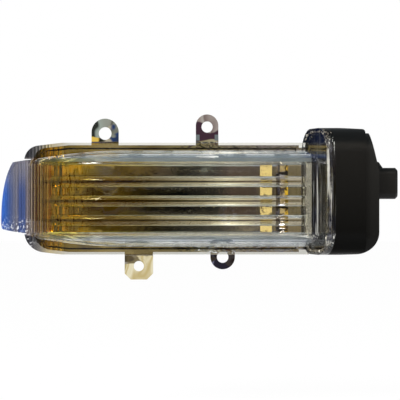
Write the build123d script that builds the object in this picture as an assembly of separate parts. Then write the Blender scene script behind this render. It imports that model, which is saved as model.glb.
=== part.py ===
"""LED turn signal lamp for a door mirror: a clear wrap-round lens welded to a bright-coated
housing with four screw ears, three light bars, and a black end box with the electronics.

Everything is drawn about the centreline of the lens: +X runs from the wrap-round tip to the
connector, -Y is the side that shines, +Z is up and Y = 0 is the face on which the lens is
welded. At the end every piece moves so that the outer upper screw hole is the origin.
Millimetres throughout.
"""

import os
from math import acos, cos, degrees, radians, sin, sqrt, tan

from build123d import *

# Lens: the front panel is flat, then bends back round a vertical axis
lens_depth = 19.0
lens_wall = 2.2
front_half_height = 16.6
lens_draft = 13.3
shoulder_radius = 3.5
bend_x = -33.5
bend_radius = 55.0
foot_thickness = 2.2

# Tip: the front panel carried on behind the weld face
tip_radius = 80.0
tip_turn = 17.5
tip_top_start = 17.0
tip_top_end = 15.8
tip_bottom_start = -15.3
tip_bottom_end = -13.4
tip_reach_top = 8.5
tip_reach_middle = 17.4
tip_reach_bottom = 20.4
tip_corner = 3.0
tip_root_depth = 5.5
tip_way_turn = 8.0

# Upright flutes inside the lens, fine before the weld face and broad on the tip
fine_flute_pitch = 1.3
fine_flute_height = 0.35
fine_flute_count = 9
broad_flute_pitch = 2.6
broad_flute_height = 0.6
broad_flute_count = 8

# Housing: flange, lip, bright bowl and ears
rim_half_height = 23.95
rim_left_margin = 0.25
rim_left_slope = 1.9
rim_slope_length = 16.0
rim_upper_corner = 6.5
rim_lower_corner = 9.0
flange_thickness = 2.4
flange_inset = 1.0
flange_left_inset = 2.9
groove_inset = 2.1
groove_width = 0.7
groove_depth = 0.8
bowl_left_margin = 7.0
bowl_right_margin = 5.7
bowl_rim_margin = 5.35
bowl_depth = 7.0
bowl_slope = 35.0
bowl_corner = 5.0
step_width = 5.0
step_gap = 1.8
housing_wall = 1.8
fin_thickness = 0.9
fin_pitch = 2.35
fin_start = 2.5
fin_count = 3
back_rib_height = 2.4
back_rib_thickness = 1.2
back_rib_count = 6
sill_reach = 4.0
sill_lap = 3.0

# Screw ears: x of the hole, its distance past the rim, hole diameter, width of the ear
outer_upper_x, outer_upper_rise, outer_upper_hole, outer_upper_width = -40.8, 4.05, 5.5, 11.7
inner_upper_x, inner_upper_rise, inner_upper_hole, inner_upper_width = 3.05, 6.85, 4.8, 9.7
outer_lower_x, outer_lower_drop, outer_lower_hole, outer_lower_width = -26.3, 5.05, 4.4, 12.2
inner_lower_x, inner_lower_drop, inner_lower_hole, inner_lower_width = 9.8, 1.35, 5.0, 10.6
outer_lower_reach = 5.8
ear_end_rise = 0.55
ear_chamfer = 2.6
ear_ring_width = 1.3
ear_ring_height = 0.5
inner_lower_y = 4.6
gusset_width = 1.6
gusset_gap = 0.15
gusset_rise = 3.4
gusset_depth = 2.0

# Light guide: three bars tied by a plate at the box end
bar_height = 4.6
bar_depth = 5.0
bar_pitch = 8.12
bar_centre_z = -1.0
bar_edge_radius = 2.1
bar_edge_flats = 3
bar_count = 3
bar_lens_gap = 1.2
bar_end_angle = 35.6
bars_sweep = 80.0
tie_thickness = 1.4
guide_plate_setback = 11.4
guide_plate_thickness = 2.4
guide_clearance = 0.3
collimator_width = 6.4

# Black end box
box_depth = 30.0
box_front_y = -28.0
box_overhang = 2.65
box_centre_z = 3.0
box_corner = 10.5
box_wall = 2.2
box_length = 12.7
box_taper = 3.5
box_top_round = 2.4
box_bottom_round = 9.5
mouth_front_x = 56.0
mouth_tilt = 16.5
end_flange_thickness = 3.2
tongue_width = 1.5
tongue_height = 2.0
tongue_clearance = 0.15

# Socket cover and its connector shroud
gasket_thickness = 0.8
gasket_width = 3.0
gasket_clearance = 0.1
cover_step = 2.2
cover_edge_thickness = 1.8
cover_crown = 3.8
cover_slope_rise = 8.5
spigot_height = 22.0
spigot_width = 15.0
spigot_wall = 1.6
spigot_clearance = 0.15
shroud_length = 8.5
shroud_height = 13.1
shroud_width = 12.0
shroud_centre_z = 6.35
shroud_wall = 1.5
shroud_corner = 2.8
shroud_end_chamfer = 0.9
spigot_corner = 2.0
socket_floor = 1.8
latch_width = 5.0
latch_height = 2.5
latch_flat = 0.8
latch_length = 2.5

# Board and what sits on it
board_setback = 9.7
board_thickness = 1.6
board_side_gap = 2.3
board_end_gap = 2.9
board_corner = 6.0
led_side = 3.5
led_thickness = 1.6
led_gap = 0.5
led_window = 2.4
led_window_depth = 0.3
pad_thickness = 1.0
sink_side_gap = 1.5
sink_end_gap = 6.5
sink_base = 1.5
fin_depth = 2.2
sink_fin_count = 6
sink_fin_thickness = 0.9
screw_edge = 3.0
screw_shank = 2.5
screw_head = 4.8
screw_head_height = 1.6
screw_recess = 2.4
screw_recess_depth = 0.8
boss_diameter = 6.0
screw_fit = 0.05
terminal_pitch = 6.0
terminal_thickness = 0.64
terminal_height = 2.4
terminal_z = 4.6
terminal_tip = 2.6
terminal_tail = 1.2
slot_clearance = 0.15

# Packages on the board: place from its centre, width, height, thickness
chip_y, chip_z, chip_width, chip_height, chip_thickness = 6.3, 12.5, 5.0, 6.0, 1.5
diode_y, diode_z, diode_width, diode_height, diode_thickness = 6.3, 2.0, 2.6, 4.4, 2.0
capacitor_y, capacitor_z = 6.3, -6.0
capacitor_width, capacitor_height, capacitor_thickness = 3.2, 5.0, 2.0
resistor_y, resistor_pitch, resistor_count = -7.1, 5.0, 5
resistor_width, resistor_height, resistor_thickness = 1.6, 3.2, 0.6

# Vent in the rear wall of the box
vent_setback = 8.2
vent_z = -8.0
vent_hole = 3.0
vent_diameter = 9.0
vent_height = 2.0
vent_wall = 1.0
membrane_thickness = 0.3


def polar(centre, radius, angle):
    """A point on an arc of the plan view; angle 0 faces the front and grows towards the tip."""
    turn = radians(angle)
    return (centre[0] - radius * sin(turn), centre[1] - radius * cos(turn))


def mouth_x(y):
    """X of the box's mouth plane at a given Y."""
    return mouth_front_x - (y - box_front_y) * tan(radians(mouth_tilt))


# Worked-out places
lens_front_y = -lens_depth
bend_centre_y = lens_front_y + bend_radius
bend_centre = (bend_x, bend_centre_y)
wrap_angle = degrees(acos(1 - lens_depth / bend_radius))
wrap_point = polar(bend_centre, bend_radius, wrap_angle)
tip_centre = polar(wrap_point, -tip_radius, wrap_angle)
box_centre_y = box_front_y + box_depth / 2
box_back_y = box_front_y + box_depth
box_half_height = rim_half_height + box_overhang
box_right_x = mouth_front_x + box_length
box_top_z = box_centre_z + box_half_height
box_low_z = box_centre_z - box_half_height
cover_edge_x = box_right_x + cover_edge_thickness
cover_crown_x = cover_edge_x + cover_crown
shroud_end_x = cover_crown_x + shroud_length
board_x = box_right_x - board_setback
board_width = box_depth - 2 * (box_wall + board_side_gap)
board_height = 2 * (box_half_height - box_wall - board_end_gap)
sink_width = board_width - 2 * sink_side_gap
sink_height = board_height - 2 * sink_end_gap
vent_x = box_right_x - vent_setback
guide_plate_x = mouth_front_x - guide_plate_setback
rim_left_x = wrap_point[0] - rim_left_margin
rim_right_x = (
    mouth_x(box_back_y) - end_flange_thickness / cos(radians(mouth_tilt)) - guide_clearance
)
bowl_left_x = wrap_point[0] + bowl_left_margin
bowl_right_x = rim_right_x - bowl_right_margin
bowl_half_height = rim_half_height - bowl_rim_margin
outer_upper_z = rim_half_height + outer_upper_rise
inner_upper_z = rim_half_height + inner_upper_rise
outer_lower_z = -rim_half_height - outer_lower_drop
inner_lower_z = -rim_half_height - inner_lower_drop
bar_front_y = lens_front_y + lens_wall + bar_lens_gap
bar_middle_y = bar_front_y + bar_depth / 2
bars_back_radius = bend_radius - (bar_front_y - lens_front_y) - bar_depth
fin_right_x = polar(bend_centre, bars_back_radius, bar_end_angle)[0] + fin_start
bar_heights = [bar_centre_z + (i - (bar_count - 1) / 2) * bar_pitch for i in range(bar_count)]
flange_back_y = flange_thickness
far = 120.0

os.makedirs("parts", exist_ok=True)


def front_prism(face, y_front, y_back):
    """A face drawn in X and Z, given a depth from y_front back to y_back."""
    return extrude(Plane.XZ.offset(-y_back) * face, amount=y_back - y_front)


def side_prism(face, x_left, x_right):
    """A face drawn in Y and Z, carried from x_left to x_right."""
    return extrude(Plane.YZ.offset(x_left) * face, amount=x_right - x_left)


def plan_prism(face, z_low, z_high):
    """A face drawn in X and Y, raised from z_low to z_high."""
    return extrude(Plane.XY.offset(z_low) * face, amount=z_high - z_low)


def box_between(x0, x1, y0, y1, z0, z1):
    """A block given by its two corners."""
    middle = Pos((x0 + x1) / 2, (y0 + y1) / 2, (z0 + z1) / 2)
    return middle * Box(x1 - x0, y1 - y0, z1 - z0)


def along_lens(section, x_right, angle):
    """Carries a section in Y and Z from x_right along the lens and round its bend by angle."""
    at_bend = Plane.YZ.offset(bend_x) * section
    straight = extrude(at_bend, amount=x_right - bend_x)
    bend_axis = Axis((bend_x, bend_centre_y, 0), (0, 0, -1))
    return straight + revolve(at_bend, bend_axis, angle)


def lens_form(inset, back_y, x_right):
    """The lens's shape moved inwards by inset: flat front, draft, shoulders round or, inside, flat."""
    front_y = lens_front_y + inset
    slope = tan(radians(lens_draft))

    def half(y):
        return front_half_height + (y - lens_front_y) * slope - inset / cos(radians(lens_draft))

    corners = [
        (front_y, -half(front_y)), (back_y, -half(back_y)),
        (back_y, half(back_y)), (front_y, half(front_y)),
    ]
    section = make_face(Polyline(*corners, close=True))
    shoulders = section.vertices().group_by(Axis.X)[0]
    if inset:
        section = chamfer(shoulders, (shoulder_radius - inset) * (2 - sqrt(2)))
    else:
        section = fillet(shoulders, shoulder_radius)
    return along_lens(section, x_right, wrap_angle)


def arc_band(centre, outer, inner, start, end):
    """A strip between two arcs of the plan view."""
    middle = (start + end) / 2
    edges = [
        ThreePointArc(*[polar(centre, outer, a) for a in (start, middle, end)]),
        Line(polar(centre, outer, end), polar(centre, inner, end)),
        ThreePointArc(*[polar(centre, inner, a) for a in (end, middle, start)]),
        Line(polar(centre, inner, start), polar(centre, outer, start)),
    ]
    return make_face(edges)


def flutes(centre, wall_radius, start, pitch, height, count):
    """Plan view of count half-round flutes standing inwards from an arc, each after the last."""
    radius = (height**2 + (pitch / 2) ** 2) / (2 * height)
    step = degrees(pitch / wall_radius)
    circles = Sketch()
    for i in range(count):
        x, y = polar(centre, wall_radius - height + radius, start + (i + 0.5) * step)
        circles += Pos(x, y) * Circle(radius)
    return circles


def tip_outline():
    """Side view of the tip, drawn in Y and Z: a slanting rear edge with a round lower corner."""
    start_y = -tip_root_depth
    rear_top = (tip_reach_top, tip_top_end)
    rear_low = (tip_reach_bottom, tip_bottom_end)
    rear_middle = (tip_reach_middle, (tip_top_end + tip_bottom_end) / 2 + tip_corner)
    edges = [
        Line((start_y, tip_top_start), rear_top),
        ThreePointArc(rear_top, rear_middle, rear_low),
        Line(rear_low, (start_y, tip_bottom_start)),
        Line((start_y, tip_bottom_start), (start_y, tip_top_start)),
    ]
    face = make_face(edges)
    rear = face.vertices().sort_by(Axis.X)
    face = fillet(rear[-1], tip_corner)
    return fillet(face.vertices().sort_by_distance((tip_reach_top, tip_top_end))[0], tip_corner / 3)


def rim_face(inset, left_x):
    """Outline of the rim from left_x to the box, drawn in X and Z, moved inwards by inset."""
    top = rim_half_height
    corner_x = left_x + rim_slope_length
    points = [
        (left_x, -top + rim_left_slope), (corner_x, -top), (rim_right_x, -top),
        (rim_right_x, top), (corner_x, top), (left_x, top - rim_left_slope),
    ]
    face = make_face(Polyline(*points, close=True))
    lower = face.vertices().sort_by_distance(points[0])[0]
    face = fillet(lower, rim_lower_corner)
    upper = face.vertices().sort_by_distance(points[5])[0]
    face = fillet(upper, rim_upper_corner)
    if inset > 0:
        face = offset(face, -inset)
    return face


def mouth_slab(near, thick):
    """A slab parallel to the mouth, from near to near + thick to the left of it."""
    left, right = -(near + thick) / cos(radians(mouth_tilt)), -near / cos(radians(mouth_tilt))
    y0, y1 = box_front_y - box_depth, box_back_y + box_depth
    points = [
        (mouth_x(y0) + left, y0), (mouth_x(y0) + right, y0),
        (mouth_x(y1) + right, y1), (mouth_x(y1) + left, y1),
    ]
    return plan_prism(make_face(Polyline(*points, close=True)), -far, far)


def box_section(inset):
    """Cross-section of the end box in Y and Z, moved inwards by inset."""
    face = RectangleRounded(
        box_depth - 2 * inset, 2 * (box_half_height - inset), box_corner - inset
    )
    return Pos(box_centre_y, box_centre_z) * face


def make_outer_lens():
    """Clear moulding: trough, foot, fluted tip and the end flange that closes the box."""
    through = mouth_x(box_front_y) + box_depth
    seat = box_between(-far, far, -far, 0, -far, far)
    body = lens_form(0, lens_wall, through) & seat
    cavity = lens_form(lens_wall, 2 * lens_wall, through) & seat
    plate = side_prism(box_section(0), 0, through) & mouth_slab(0, end_flange_thickness)
    left_of_mouth = mouth_slab(end_flange_thickness / 2, 2 * far)
    foot = front_prism(rim_face(0, rim_left_x), -foot_thickness, 0)
    foot += box_between(
        bend_x, through, -foot_thickness, 0, -rim_half_height, rim_half_height
    )
    foot -= box_between(-far, bend_x, -foot_thickness, 0, tip_bottom_start, tip_top_start)
    fine = flutes(
        bend_centre, bend_radius - lens_wall,
        wrap_angle - degrees(fine_flute_pitch * (fine_flute_count + 1) / bend_radius),
        fine_flute_pitch, fine_flute_height, fine_flute_count,
    )
    fine_ribs = plan_prism(fine, -front_half_height, front_half_height) & body
    tip_start = wrap_angle - degrees(lens_wall / tip_radius)
    band = arc_band(
        tip_centre, tip_radius, tip_radius - lens_wall, tip_start, wrap_angle + tip_turn
    )
    broad = flutes(
        tip_centre, tip_radius - lens_wall, wrap_angle + degrees(lens_wall / tip_radius),
        broad_flute_pitch, broad_flute_height, broad_flute_count,
    )
    behind_outer = arc_band(
        tip_centre, tip_radius, tip_radius / 2, tip_start, wrap_angle + tip_turn
    )
    tip_plan = band + (broad & behind_outer)
    tip = plan_prism(tip_plan, -far, far) & side_prism(tip_outline(), -far, bend_x)
    tongue = side_prism(box_section(box_wall + tongue_clearance), 0, through)
    tongue -= side_prism(box_section(box_wall + tongue_clearance + tongue_width), 0, through)
    tongue &= mouth_slab(-tongue_height, tongue_height)
    shell = ((body + foot) & left_of_mouth) + plate - cavity
    return shell + fine_ribs + tip + tongue


def bar_section():
    """Cross-section of a bar in Y and Z: its two front corners are rounded in a few flats."""
    y, z, r = bar_depth / 2, bar_height / 2, bar_edge_radius
    points = [(y, -z)]
    for side in (-1, 1):
        for i in range(bar_edge_flats + 1):
            turn = radians(90) * (i if side < 0 else bar_edge_flats - i) / bar_edge_flats
            points.append((r - y - r * sin(turn), side * (z - r + r * cos(turn))))
    return make_face(Polyline(*points, (y, z), close=True))


def make_light_guide():
    """Clear moulding: three bars, an end tie, a plate in the lens's end and three collimators."""
    section = bar_section()
    collimator_start = guide_plate_x + guide_plate_thickness
    collimator_end = board_x - led_thickness - led_gap
    guide = Part()
    for z in bar_heights:
        guide += along_lens(Pos(bar_middle_y, z) * section, collimator_start, bar_end_angle)
        throat, head = Rectangle(bar_depth, bar_height), Rectangle(collimator_width, collimator_width)
        small = Plane.YZ.offset(collimator_start) * (Pos(bar_middle_y, z) * throat)
        large = Plane.YZ.offset(collimator_end) * (Pos(bar_middle_y, z) * head)
        guide += loft([small, large])
    tie_half = (bar_count - 1) / 2 * bar_pitch
    tie = Pos(bar_middle_y, bar_centre_z) * Rectangle(bar_depth / 2, 2 * tie_half)
    start = bar_end_angle - degrees(tie_thickness / bend_radius)
    tie = revolve(
        Plane.YZ.offset(bend_x) * tie, Axis((bend_x, bend_centre_y, 0), (0, 0, -1)), bar_end_angle
    )
    front_part = plan_prism(
        arc_band(bend_centre, 2 * bend_radius, 1, 0, start), -far, far
    )
    guide += tie - front_part
    plate = lens_form(lens_wall + guide_clearance, -guide_clearance, far)
    guide += plate & box_between(guide_plate_x, collimator_start, -far, far, -far, far)
    return guide


def ear_plate(x, z, width, rim_z):
    """Front view of an ear with a round end, from the rim out to its hole."""
    end = Pos(x, z) * Circle(width / 2)
    root = Pos(x, (z + rim_z) / 2) * Rectangle(width, abs(z - rim_z))
    return end + root


def make_ears():
    """Ears that lie in the flange, one with a raised ring and one with two gussets."""
    upper_root = rim_half_height - 2 * flange_inset
    plates = ear_plate(outer_upper_x, outer_upper_z + ear_end_rise, outer_upper_width, upper_root)
    plates += ear_plate(inner_upper_x, inner_upper_z + ear_end_rise, inner_upper_width, upper_root)
    low = outer_lower_z - outer_lower_reach
    tall = abs(low + upper_root)
    square = Pos(outer_lower_x, low + tall / 2) * Rectangle(outer_lower_width, tall)
    square = chamfer(square.vertices().group_by(Axis.Y)[0], ear_chamfer)
    ears = front_prism(plates + square, 0, flange_back_y)
    ring = Pos(outer_lower_x, outer_lower_z) * Circle(outer_lower_hole / 2 + ear_ring_width)
    ears += front_prism(ring, -ear_ring_height, 0)
    wedge_root = rim_half_height + gusset_gap
    wedge = make_face(Polyline(
        (0, wedge_root), (0, wedge_root + gusset_rise),
        (-gusset_depth, wedge_root + gusset_width / 2), (-gusset_depth, wedge_root), close=True,
    ))
    for side in (-1, 1):
        outer = inner_upper_x + side * inner_upper_width / 2
        inner = outer - side * gusset_width
        ears += side_prism(wedge, min(outer, inner), max(outer, inner))
    return ears


def bowl_form(outset, depth):
    """The bowl's tapered shape behind the weld face, moved outwards by outset."""
    width = bowl_right_x - bowl_left_x + 2 * outset
    face = RectangleRounded(width, 2 * (bowl_half_height + outset), bowl_corner + outset)
    behind = Plane((0, 0, 0), x_dir=(1, 0, 0), z_dir=(0, 1, 0))
    middle = (bowl_left_x + bowl_right_x) / 2
    return extrude(behind * (Pos(middle, 0) * face), amount=depth, taper=bowl_slope)


def make_housing():
    """Bright-coated moulding: rim, bowl with a slanting step, holding fins and screw ears."""
    flange_left_x = rim_left_x + flange_left_inset
    flange = front_prism(rim_face(flange_inset, flange_left_x), 0, flange_back_y)
    outset = housing_wall / cos(radians(bowl_slope))
    housing = flange + make_ears() + bowl_form(outset, bowl_depth + housing_wall)
    rib_y = bowl_depth + housing_wall + back_rib_height
    floor_half = bowl_half_height - bowl_depth * tan(radians(bowl_slope))
    rib_step = (bowl_right_x - bowl_left_x) / (back_rib_count + 1)
    for i in range(back_rib_count):
        x = bowl_left_x + (i + 1) * rib_step
        housing += box_between(
            x - back_rib_thickness / 2, x + back_rib_thickness / 2,
            bowl_depth, rib_y, -floor_half, floor_half,
        )
    lower = Pos(inner_lower_x, inner_lower_z) * Circle(inner_lower_width / 2)
    lower += Pos(inner_lower_x, (inner_lower_z - floor_half) / 2) * Rectangle(
        inner_lower_width, abs(inner_lower_z + floor_half)
    )
    housing += front_prism(lower, inner_lower_y, inner_lower_y + flange_thickness)
    sill_y = max(box_back_y, 0) + guide_clearance
    sill_left_x = rim_right_x - flange_inset - sill_lap
    sill_half = rim_half_height - 2 * flange_inset
    housing += box_between(
        sill_left_x, mouth_x(box_back_y) + sill_reach,
        sill_y, sill_y + housing_wall, -sill_half, sill_half,
    )
    housing += box_between(
        sill_left_x, sill_left_x + sill_lap, 0, sill_y + housing_wall, -sill_half, sill_half
    )
    housing -= bowl_form(0, bowl_depth)
    slope = tan(radians(bowl_slope))
    step_right_x = bowl_right_x - bowl_depth * slope - step_gap
    step = make_face(Polyline(
        (step_right_x - step_width, bowl_depth), (step_right_x, bowl_depth - step_width * slope),
        (step_right_x, bowl_depth + housing_wall), (step_right_x - step_width, bowl_depth + housing_wall),
        close=True,
    ))
    housing += plan_prism(step, -far, far) & bowl_form(outset, bowl_depth + housing_wall)
    fin_reach = bars_back_radius - guide_clearance
    behind_bars = plan_prism(arc_band(bend_centre, fin_reach, 1, 0, bars_sweep), -far, far)
    for i in range(fin_count):
        x = fin_right_x - i * fin_pitch
        fin = box_between(
            x - fin_thickness / 2, x + fin_thickness / 2,
            lens_front_y, bowl_depth + housing_wall / 2, -floor_half, floor_half,
        )
        housing += fin & behind_bars
    clear = lens_wall + broad_flute_height + guide_clearance
    tip_way = arc_band(
        tip_centre, tip_radius + clear, tip_radius - clear,
        wrap_angle - tip_way_turn, wrap_angle + tip_turn,
    )
    housing -= plan_prism(
        tip_way, tip_bottom_start - guide_clearance, tip_top_start + guide_clearance
    )
    groove = rim_face(groove_inset, flange_left_x)
    groove -= rim_face(groove_inset + groove_width, flange_left_x)
    housing -= front_prism(groove, 0, groove_depth)
    for x, z, hole in (
        (outer_upper_x, outer_upper_z, outer_upper_hole),
        (inner_upper_x, inner_upper_z, inner_upper_hole),
        (outer_lower_x, outer_lower_z, outer_lower_hole),
    ):
        housing -= front_prism(Pos(x, z) * Circle(hole / 2), -ear_ring_height, flange_back_y)
    hole = Pos(inner_lower_x, inner_lower_z) * Circle(inner_lower_hole / 2)
    housing -= front_prism(hole, inner_lower_y, inner_lower_y + flange_thickness)
    return housing


def screw_points():
    """Y and Z of the two board screws."""
    reach = board_height / 2 - screw_edge
    return [(box_centre_y, box_centre_z + side * reach) for side in (-1, 1)]


def x_rod(y, z, diameter, x_left, x_right):
    """A round bar along X."""
    return side_prism(Pos(y, z) * Circle(diameter / 2), x_left, x_right)


def end_view(inset, x_right):
    """Side view of box and cover as one form, in X and Z, moved inwards and cut at x_right."""
    start = mouth_front_x + tongue_height
    drop = (box_right_x - start) * tan(radians(box_taper))
    shoulder = (box_right_x, box_top_z - drop)
    heel = (cover_crown_x, box_low_z + drop)
    face = make_face(Polyline(
        (start, box_low_z), heel,
        (cover_crown_x, box_centre_z + cover_slope_rise), (cover_edge_x, box_top_z - cover_step),
        (box_right_x, box_top_z - cover_step), shoulder, (start, box_top_z),
        close=True,
    ))
    face = fillet(face.vertices().sort_by_distance(heel)[0], box_bottom_round)
    face = fillet(face.vertices().sort_by_distance(shoulder)[0], min(box_top_round, cover_step / 2))
    open_end = Pos(start / 2, box_centre_z) * Rectangle(start, 2 * box_half_height)
    cut = Pos(x_right / 2, box_centre_z) * Rectangle(x_right, 4 * box_half_height)
    face = (face + open_end) & cut
    return offset(face, -inset) if inset else face


def make_end_housing():
    """Black cup: open at its slanting mouth, with an end wall, two screw bosses and a vent hole."""
    cup = side_prism(box_section(0), 0, box_right_x)
    cup &= front_prism(end_view(0, box_right_x), -far, far)
    cavity = side_prism(box_section(box_wall), 0, box_right_x - box_wall)
    cup -= cavity & front_prism(end_view(box_wall, box_right_x), -far, far)
    cup -= mouth_slab(0, 2 * far)
    pilot = screw_shank + 2 * screw_fit
    for y, z in screw_points():
        cup += x_rod(y, z, boss_diameter, board_x + board_thickness, box_right_x - box_wall)
    for y, z in screw_points():
        cup -= x_rod(y, z, pilot, board_x, box_right_x - box_wall / 2)
    opening = Pos(box_centre_y, shroud_centre_z) * RectangleRounded(
        spigot_width, spigot_height, spigot_corner
    )
    cup -= side_prism(opening, box_right_x - 2 * box_wall, box_right_x + box_wall)
    vent = Pos(vent_x, vent_z) * Circle(vent_hole / 2)
    return cup - front_prism(vent, box_back_y - 2 * box_wall, box_back_y + box_wall)


def terminal_blade(y):
    """One blade, from its solder tail at the board to its tip in the socket."""
    blade = box_between(
        board_x - terminal_tail, shroud_end_x - terminal_tip,
        y - terminal_thickness / 2, y + terminal_thickness / 2,
        terminal_z - terminal_height / 2, terminal_z + terminal_height / 2,
    )
    tips = blade.edges().filter_by(Axis.Z).group_by(Axis.X)[-1]
    return chamfer(tips, terminal_thickness / 3)


terminal_ys = [box_centre_y + side * terminal_pitch / 2 for side in (-1, 1)]


def make_socket_cover():
    """Black cover: sloping plate, hollow spigot, keyed connector shroud and latch ramp."""
    section = Pos(box_centre_y, box_centre_z - cover_step / 2) * RectangleRounded(
        box_depth - 2 * cover_step, 2 * box_half_height - cover_step, box_corner - cover_step
    )
    cover = side_prism(section, box_right_x, cover_crown_x)
    cover &= front_prism(end_view(0, cover_crown_x), -far, far)
    centre = Pos(box_centre_y, shroud_centre_z)
    outside = centre * RectangleRounded(shroud_width, shroud_height, shroud_corner)
    shroud = side_prism(outside, cover_edge_x, shroud_end_x)
    shroud = chamfer(shroud.edges().group_by(Axis.X)[-1], shroud_end_chamfer)
    cover += shroud
    latch_z = shroud_centre_z + shroud_height / 2
    ramp = make_face(Polyline(
        (cover_edge_x, latch_z - shroud_wall), (cover_edge_x, latch_z + latch_height),
        (cover_crown_x + latch_flat, latch_z + latch_height),
        (cover_crown_x + latch_length, latch_z), (cover_crown_x + latch_length, latch_z - shroud_wall),
        close=True,
    ))
    cover += front_prism(ramp, box_centre_y - latch_width / 2, box_centre_y + latch_width / 2)
    outer = RectangleRounded(
        spigot_width - 2 * spigot_clearance, spigot_height - 2 * spigot_clearance, spigot_corner
    )
    hollow = RectangleRounded(
        spigot_width - 2 * spigot_wall, spigot_height - 2 * spigot_wall, spigot_corner / 2
    )
    cover += side_prism(centre * outer, box_right_x - box_wall, cover_edge_x)
    hollow_end = box_right_x + gasket_thickness + socket_floor / 2
    cover -= side_prism(centre * hollow, box_right_x - 2 * box_wall, hollow_end)
    cover -= side_prism(gasket_ring(gasket_clearance), box_right_x, box_right_x + gasket_thickness)
    inner = centre * RectangleRounded(
        shroud_width - 2 * shroud_wall, shroud_height - 2 * shroud_wall, shroud_corner / 2
    )
    cover -= side_prism(inner, cover_crown_x + socket_floor, shroud_end_x)
    for y in terminal_ys:
        cover -= terminal_blade(y)
    return cover


def gasket_ring(room):
    """Front view of the gasket round the spigot, made wider outwards by room."""
    grow = 2 * (gasket_width + room)
    outer = RectangleRounded(
        spigot_width + grow, spigot_height + grow, spigot_corner + gasket_width + room
    )
    inner = RectangleRounded(spigot_width, spigot_height, spigot_corner)
    return Pos(box_centre_y, shroud_centre_z) * (outer - inner)


def make_cover_gasket():
    """Flat soft ring that sits in the cover's groove against the box's end wall."""
    return side_prism(gasket_ring(0), box_right_x, box_right_x + gasket_thickness)


def make_circuit_board():
    """Board with screw holes and slots for the terminal tails."""
    face = Pos(box_centre_y, box_centre_z) * RectangleRounded(board_width, board_height, board_corner)
    for y, z in screw_points():
        face -= Pos(y, z) * Circle(screw_shank / 2 + slot_clearance)
    for y in terminal_ys:
        slot = Rectangle(terminal_thickness + slot_clearance, terminal_height + slot_clearance)
        face -= Pos(y, terminal_z) * slot
    return side_prism(face, board_x, board_x + board_thickness)


def make_led(z):
    """A square light-emitting package with a shallow window."""
    led = side_prism(
        Pos(bar_middle_y, z) * Rectangle(led_side, led_side),
        board_x - led_thickness, board_x,
    )
    window = Pos(bar_middle_y, z) * Rectangle(led_window, led_window)
    front = board_x - led_thickness
    return led - side_prism(window, front, front + led_window_depth)


def terminal_window(depth_from, depth_to):
    """Room round both terminals in what lies behind the board."""
    wide = terminal_pitch + terminal_thickness + 8 * slot_clearance
    tall = terminal_height + 8 * slot_clearance
    return side_prism(Pos(box_centre_y, terminal_z) * Rectangle(wide, tall), depth_from, depth_to)


def make_thermal_pad():
    """Soft pad that carries heat from the board to the sink."""
    face = Pos(box_centre_y, box_centre_z) * Rectangle(sink_width, sink_height)
    start = board_x + board_thickness
    pad = side_prism(face, start, start + pad_thickness)
    return pad - terminal_window(start, start + pad_thickness)


def make_heat_sink():
    """Aluminium plate with upright fins and a window for the terminals."""
    start = board_x + board_thickness + pad_thickness
    face = Pos(box_centre_y, box_centre_z) * Rectangle(sink_width, sink_height)
    sink = side_prism(face, start, start + sink_base)
    step = (sink_width - sink_fin_thickness) / (sink_fin_count - 1)
    for i in range(sink_fin_count):
        y = box_centre_y - sink_width / 2 + sink_fin_thickness / 2 + i * step
        fin = Pos(y, box_centre_z) * Rectangle(sink_fin_thickness, sink_height)
        sink += side_prism(fin, start + sink_base, start + sink_base + fin_depth)
    return sink - terminal_window(start, start + sink_base + fin_depth)


def on_board(y, z, width, height, thickness):
    """A flat package on the lens side of the board, placed from the board's centre."""
    face = Pos(box_centre_y + y, box_centre_z + z) * Rectangle(width, height)
    return side_prism(face, board_x - thickness, board_x)


def make_resistors():
    """A row of chip resistors."""
    row = [
        on_board(
            resistor_y, (i - (resistor_count - 1) / 2) * resistor_pitch,
            resistor_width, resistor_height, resistor_thickness,
        )
        for i in range(resistor_count)
    ]
    return Compound(children=row)


def make_board_screws():
    """Two socket-head screws that hold the board to the box's bosses."""
    screws = []
    for y, z in screw_points():
        head = x_rod(y, z, screw_head, board_x - screw_head_height, board_x)
        front = board_x - screw_head_height
        recess = Pos(y, z) * RegularPolygon(screw_recess / 2, 6)
        head -= side_prism(recess, front, front + screw_recess_depth)
        shank = x_rod(y, z, screw_shank, board_x, box_right_x - box_wall)
        screws.append(head + shank)
    return Compound(children=screws)


def make_vent_cap():
    """Small cap over the vent hole, with a side gap for air."""
    spot = Pos(vent_x, vent_z)
    y0 = box_back_y
    cap = front_prism(spot * Circle(vent_diameter / 2), y0, y0 + vent_height)
    cap -= front_prism(spot * Circle(vent_diameter / 2 - vent_wall), y0, y0 + vent_height - vent_wall)
    gap = vent_wall / 2
    way = spot * Rectangle(2 * vent_diameter, vent_wall)
    return cap - front_prism(way, y0, y0 + gap)


def make_vent_membrane():
    """Thin film over the vent hole, under the cap."""
    disc = Pos(vent_x, vent_z) * Circle(vent_diameter / 2 - vent_wall - slot_clearance)
    return front_prism(disc, box_back_y, box_back_y + membrane_thickness)


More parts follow.
